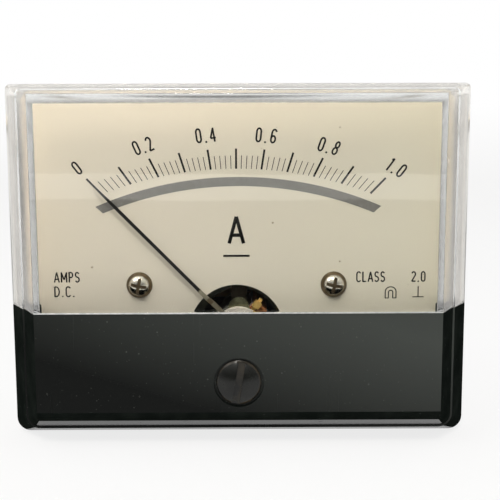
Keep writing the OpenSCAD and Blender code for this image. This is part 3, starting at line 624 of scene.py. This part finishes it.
# Strokes of each figure in a box one unit high: (width, [strokes])
glyphs = {
    "0": (0.46, [arcPoints(0.23, 0.73, 0.18, 0.22, 180, 0)
                 + arcPoints(0.23, 0.27, 0.18, 0.22, 0, -180) + [(0.05, 0.75)]]),
    "1": (0.34, [[(0.22, 0.0), (0.22, 0.96)], [(0.22, 0.94), (0.07, 0.8)]]),
    "2": (0.46, [arcPoints(0.23, 0.73, 0.18, 0.22, 165, -32), [(0.385, 0.625), (0.05, 0.06)],
                 [(0.03, 0.05), (0.43, 0.05)]]),
    "4": (0.5, [[(0.35, 0.0), (0.35, 0.96)], [(0.35, 0.94), (0.05, 0.28)],
                [(0.03, 0.27), (0.48, 0.27)]]),
    "6": (0.46, [arcPoints(0.23, 0.74, 0.18, 0.21, 20, 180) + [(0.05, 0.27)],
                 arcPoints(0.23, 0.28, 0.18, 0.23, 0, 360, 20)]),
    "8": (0.46, [arcPoints(0.23, 0.735, 0.15, 0.21, 0, 360, 20),
                 arcPoints(0.23, 0.275, 0.18, 0.23, 0, 360, 20)]),
    "A": (0.5, [[(0.02, 0.0), (0.25, 0.97)], [(0.48, 0.0), (0.25, 0.97)],
                [(0.1, 0.3), (0.4, 0.3)]]),
    "M": (0.6, [[(0.05, 0.0), (0.05, 0.98)], [(0.05, 0.94), (0.3, 0.25)],
                [(0.3, 0.25), (0.55, 0.94)], [(0.55, 0.98), (0.55, 0.0)]]),
    "P": (0.44, [[(0.05, 0.0), (0.05, 0.98)],
                 [(0.05, 0.95), (0.2, 0.95)] + arcPoints(0.2, 0.71, 0.19, 0.24, 90, -90)
                 + [(0.05, 0.47)]]),
    "S": (0.46, [arcPoints(0.23, 0.73, 0.17, 0.22, 25, 270)
                 + arcPoints(0.23, 0.27, 0.18, 0.23, 85, -155)]),
    "D": (0.48, [[(0.05, 0.0), (0.05, 0.98)],
                 [(0.05, 0.95), (0.18, 0.95)] + arcPoints(0.18, 0.49, 0.25, 0.46, 80, -80)
                 + [(0.18, 0.03), (0.05, 0.03)]]),
    "C": (0.46, [arcPoints(0.24, 0.72, 0.19, 0.24, 25, 180)
                 + arcPoints(0.24, 0.26, 0.19, 0.24, 180, 335)]),
    "L": (0.42, [[(0.05, 0.98), (0.05, 0.03)], [(0.02, 0.04), (0.38, 0.04)]]),
    ".": (0.2, [[(0.09, -0.02), (0.09, 0.1)]]),
    " ": (0.3, []),
}


def drawStrokes(strokes, width, name):  # flat printed lines; points are (x, z) in millimetres
    made = []
    for points in strokes:
        bpy.ops.curve.primitive_bezier_curve_add()
        line = bpy.context.object
        curve = line.data
        curve.splines.clear()
        spline = curve.splines.new("POLY")
        spline.points.add(len(points) - 1)
        for p, (x, z) in zip(spline.points, points):
            p.co = (x * mm, 0, z * mm, 1)
        curve.bevel_depth = width / 2 * mm
        curve.bevel_resolution = 1
        curve.use_fill_caps = True
        pick(line)
        bpy.ops.object.convert(target="MESH")
        editAll(line)
        bpy.ops.mesh.remove_doubles(threshold=1e-7)
        bpy.ops.mesh.select_mode(type="EDGE")
        bpy.ops.mesh.select_all(action="DESELECT")
        bpy.ops.mesh.select_non_manifold()
        bpy.ops.mesh.fill_holes(sides=0)
        bpy.ops.mesh.select_all(action="SELECT")
        bpy.ops.mesh.normals_make_consistent(inside=False)
        bpy.ops.object.mode_set(mode="OBJECT")
        for v in line.data.vertices:
            v.co.y *= ink["half"] / (width / 2 * mm)
            v.co.y += dialFace - ink["lift"]
        made.append(line)
    return joinAll(made, name)


def turned(point, degrees, centre=(0, 0)):  # clockwise as seen from the front
    c, s = math.cos(math.radians(degrees)), math.sin(math.radians(degrees))
    return (centre[0] + c * point[0] + s * point[1], centre[1] - s * point[0] + c * point[1])


# turn is the slope of the line of letters, lean is each letter's own turn
def wordStrokes(word, centre, height, turn=0, gap=0.16, width=None, lean=None, narrow=1.0):
    letters, pen = [], 0
    for letter in word:
        advance, strokes = glyphs[letter]
        advance *= narrow
        centred = [[(x * narrow - advance / 2, y) for x, y in line] for line in strokes]
        letters.append((pen + advance / 2, centred))
        pen += advance + gap
    span = pen - gap
    stretch = 1 if width is None else width / (span * height)
    placed = []
    for i, (middle, strokes) in enumerate(letters):
        part = (i / (len(letters) - 1) if len(letters) > 1 else 0.5)
        own = turn if lean is None else lean[0] + (lean[1] - lean[0]) * part
        for line in strokes:
            local = [(x * height * stretch, (y - 0.49) * height) for x, y in line]
            shift = ((middle - span / 2) * height * stretch, 0)
            placed.append([turned(turned(p, own), 0, turned(shift, turn, centre)) for p in local])
    return placed


scale = {
    "pivot": (-0.38, -12.4), "arcBelow": 38.3, "outer": 71.75, "major": 68.1, "minorOuter": 70.5,
    "band": (64.95, 66.6), "bandEnd": 48.8, "divisions": 50, "sweep": 44.25,
    "majorWidth": 0.36, "minorWidth": 0.13, "figureHeight": 2.66, "figureStroke": 0.37,
}
figures = [  # what it says, slope, turn of its first and last letter, gap, place from the pivot
    ("0", -36, (-37, -37), 0.2, (-29.0, 30.0)), ("0.2", -17.5, (-24, -25), 0.2, (-16.9, 33.95)),
    ("0.4", -5, (-8, -10), 0.2, (-5.5, 35.85)), ("0.6", 5, (6.5, 13), 0.24, (5.5, 35.75)),
    ("0.8", 15, (20, 27), 0.24, (16.9, 33.8)), ("1.0", 31, (37, 38), 0.21, (29.2, 29.9)),
]


def reachOnRay(turn, radius):  # from the pivot to the scale's arc
    below = scale["arcBelow"]
    return -below * math.cos(turn) + math.sqrt(radius ** 2 - (below * math.sin(turn)) ** 2)


def addTick(turn, inner, outer, width):
    a, b = reachOnRay(turn, inner), reachOnRay(turn, outer)
    middle = (a + b) / 2
    x = (scale["pivot"][0] + middle * math.sin(turn)) * mm
    z = (scale["pivot"][1] + middle * math.cos(turn)) * mm
    bpy.ops.mesh.primitive_cube_add(size=1, location=(x, dialFace - ink["lift"], z),
                                    rotation=(0, turn, 0),
                                    scale=(width * mm, 2 * ink["half"], (b - a) * mm))
    return bpy.context.object


ticks = []
for i in range(scale["divisions"] + 1):
    turn = math.radians(-scale["sweep"] + 2 * scale["sweep"] * i / scale["divisions"])
    isMajor = i % 5 == 0
    ticks.append(addTick(turn, scale["major"], scale["outer"] if isMajor else scale["minorOuter"],
                         scale["majorWidth"] if isMajor else scale["minorWidth"]))
scaleTicks = joinAll(ticks, "scaleTicks")
settle(scaleTicks)


def scaleBand():  # a strip spun round the scale's own centre, then cut in line with the pivot
    low, high = scale["band"]
    centreZ = (scale["pivot"][1] - scale["arcBelow"]) * mm
    bpy.ops.mesh.primitive_plane_add(size=1)
    band = bpy.context.object
    front, back = dialFace - ink["lift"] - ink["half"], dialFace + 0.00001
    corners = ((front, low), (back, low), (front, high), (back, high))
    for v, (y, r) in zip(band.data.vertices, corners):
        v.co = (0, y, centreZ + r * mm)
    half = math.radians(32)  # a little more than is kept
    editAll(band)
    bpy.ops.transform.rotate(value=half, orient_axis="Y", orient_type="GLOBAL",
                             center_override=(0, 0, centreZ))
    bpy.ops.mesh.spin(steps=96, angle=-2 * half, center=(0, 0, centreZ), axis=(0, 1, 0))
    end = math.radians(scale["bandEnd"])
    for side in (-1, 1):
        bpy.ops.mesh.select_all(action="SELECT")
        bpy.ops.mesh.bisect(plane_co=(0, 0, scale["pivot"][1] * mm),
                            plane_no=(side * math.cos(end), 0, -math.sin(end)),
                            clear_outer=True, use_fill=True)
    bpy.ops.mesh.select_all(action="SELECT")
    bpy.ops.mesh.remove_doubles(threshold=1e-7)
    bpy.ops.mesh.normals_make_consistent(inside=False)
    bpy.ops.object.mode_set(mode="OBJECT")
    band.name = "scaleBand"
    return band


figureStrokes = []
for word, slope, lean, gap, (x, z) in figures:
    figureStrokes += wordStrokes(word, (x + scale["pivot"][0], z + scale["pivot"][1]),
                                 scale["figureHeight"], slope, gap, None, lean, 0.82)
scaleFigures = drawStrokes(figureStrokes, scale["figureStroke"], "scaleFigures")
bigLetter = drawStrokes(wordStrokes("A", (-0.4, 6.2), 5.1, width=2.9), 0.75, "unitLetter")
bigLine = drawStrokes([[(-2.85, 1.4), (2.05, 1.4)]], 0.45, "unitLine")
words = (wordStrokes("AMPS", (-31.8, -2.5), 1.95, width=4.7)
         + wordStrokes("D.C.", (-32.3, -5.2), 1.95, width=3.8)
         + wordStrokes("CLASS", (24.45, -2.6), 1.95, width=5.3)
         + wordStrokes("2.0", (33.3, -2.6), 1.95, width=2.6))
dialWords = drawStrokes(words, 0.28, "dialWords")
coilSign = [[(27.8, -6.6), (27.8, -5.4)] + arcPoints(28.8, -5.4, 1.0, 0.9, 180, 0) + [(29.8, -6.6)],
            [(28.4, -6.6), (28.4, -5.5)] + arcPoints(28.8, -5.5, 0.4, 0.35, 180, 0, 6)
            + [(29.2, -6.6)],
            [(27.75, -6.6), (28.45, -6.6)], [(29.15, -6.6), (29.85, -6.6)]]
upright = [[(33.9, -4.4), (33.9, -6.4)], [(32.85, -6.4), (34.95, -6.4)]]
signsShift = -0.6
signs = [[(x + signsShift, z) for x, z in line] for line in coilSign + upright]
dialSigns = drawStrokes(signs, 0.19, "dialSigns")
greyBand = scaleBand()
for piece, material in ((scaleTicks, blackInk), (scaleFigures, blackInk), (bigLetter, blackInk),
                        (bigLine, blackInk), (dialWords, blackInk), (dialSigns, blackInk),
                        (greyBand, greyInk)):
    paint(piece, material)
    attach(piece, "case")
print("dial printed")


stageSizes = {"floor": cadBounds[0].z - 0.0001, "back": 0.7, "sweep": 0.35, "half": 2.2,
              "wall": 1.2, "steps": 12}


# White where it is seen, pale where it is lit, and it keeps the object's shadow. What the glass
# mirrors from the front is a dark card, so that the blacks behind the window stay black.
def backdropFinish():
    f = Finish("paleBackdrop")
    soft = f.noise(2.5, 2)
    colour = f.blend(soft, (0.9, 0.895, 0.885), (0.92, 0.918, 0.91))
    matte = f.surface(Base_Color=colour, Roughness=0.9, Specular_IOR_Level=0.1)
    camera = f.node("ShaderNodeLightPath", out="Is Camera Ray")
    mirrored = (f.node("ShaderNodeLightPath", out="Is Glossy Ray")
                + f.node("ShaderNodeLightPath", out="Is Transmission Ray"))
    x, y = f.axis("X"), f.axis("Y")
    card = y.below(-0.1, 0.04) * y.above(-0.9, 0.1) * (1 - (x * x).above(0.06, 0.03))
    dark = f.node("ShaderNodeBsdfDiffuse", {}, {"Color": (0.02, 0.02, 0.02)})
    matte = f.node("ShaderNodeMixShader", {}, {0: (1 - camera) * card, 1: matte, 2: dark})
    wall = f.axis("Z").above(stageSizes["floor"] + 0.02, 0.1)
    white = f.node("ShaderNodeEmission", {}, {"Color": (1, 1, 1), "Strength": 1.0})
    share = (camera + mirrored * (1 - card)).above(0.4, 0.1) * (0.8 + 0.2 * wall)
    return f.finish(f.node("ShaderNodeMixShader", {}, {0: share, 1: matte, 2: white}))


bpy.ops.mesh.primitive_plane_add(size=1)
floor = bpy.context.object
floor.name = "paleFloor"
for v, (x, y) in zip(floor.data.vertices, ((-1, -1), (1, -1), (-1, 1), (1, 1))):
    v.co = (x * stageSizes["half"], -stageSizes["half"] if y < 0 else stageSizes["back"],
            stageSizes["floor"])
selectByPlace(floor, lambda co: co.y > 0)
for i in range(stageSizes["steps"]):  # rolls the rear edge up into a wall
    a = math.radians(90 * (i + 0.5) / stageSizes["steps"])
    step = stageSizes["sweep"] * math.pi / 2 / stageSizes["steps"]
    bpy.ops.mesh.extrude_region_move(
        TRANSFORM_OT_translate={"value": (0, step * math.cos(a), step * math.sin(a))})
bpy.ops.mesh.extrude_region_move(TRANSFORM_OT_translate={"value": (0, 0, stageSizes["wall"])})
bpy.ops.object.mode_set(mode="OBJECT")
smoothEdges(floor, 60)
paint(floor, backdropFinish())

lamps = {  # place, aimed at, width, power, colour
    "keyLamp": ((-0.05, -0.44, 0.55), (0, 0, 0), 0.16, 1.85, (1.0, 0.96, 0.9)),
    "fillLamp": ((-0.32, -0.24, 0.36), (0, 0, 0), 0.3, 0.45, (1.0, 0.97, 0.94)),
}
for name, (place, target, width, power, colour) in lamps.items():
    light = bpy.data.lights.new(name, "AREA")
    light.shape = "DISK"
    light.size = width
    light.energy = power
    light.color = colour
    lamp = bpy.data.objects.new(name, light)
    lamp.location = place
    lamp.rotation_euler = (Vector(target) - Vector(place)).to_track_quat("-Z", "Y").to_euler()
    bpy.context.scene.collection.objects.link(lamp)

world = bpy.data.worlds.new("paleRoom")
bpy.context.scene.world = world
sky = Finish("paleRoom", world)
direction = sky.node("ShaderNodeTexCoord", out="Generated")
up = sky.node("ShaderNodeSeparateXYZ", {}, {0: direction}, "Z")
forward = sky.node("ShaderNodeSeparateXYZ", {}, {0: direction}, "Y")
tone = sky.node("ShaderNodeValToRGB",
                {"stops": [(0.0, (0.42, 0.42, 0.42)), (0.5, (0.6, 0.6, 0.59)),
                           (0.72, (0.85, 0.85, 0.84)), (1.0, (1.0, 1.0, 1.0))]},
                {0: up * 0.5 + 0.5})
dim = (forward * -1.0).above(0.5, 0.35) * up.below(0.55, 0.4)
room = sky.blend(dim * 0.9, tone, (0.05, 0.05, 0.052))
seenRoom = sky.node("ShaderNodeLightPath", out="Is Camera Ray")
room = sky.blend(seenRoom, room, (1, 1, 1))
shine = sky.node("ShaderNodeBackground", {}, {"Color": room, "Strength": 0.75 + 0.25 * seenRoom})
sky.node("ShaderNodeOutputWorld", {}, {"Surface": shine})

view = {"place": (0.0016, -0.1527, 0.0201), "turn": (83.14, 0.19, -0.22), "lens": 57.6}
cameraData = bpy.data.cameras.new("camera")
cameraData.lens = view["lens"]
cameraData.sensor_width = 36
cameraData.clip_start = 0.01
camera = bpy.data.objects.new("camera", cameraData)
camera.location = view["place"]
camera.rotation_euler = [math.radians(a) for a in view["turn"]]
bpy.context.scene.collection.objects.link(camera)
bpy.context.scene.camera = camera
bpy.context.scene.view_settings.view_transform = "Standard"
print("stage set")
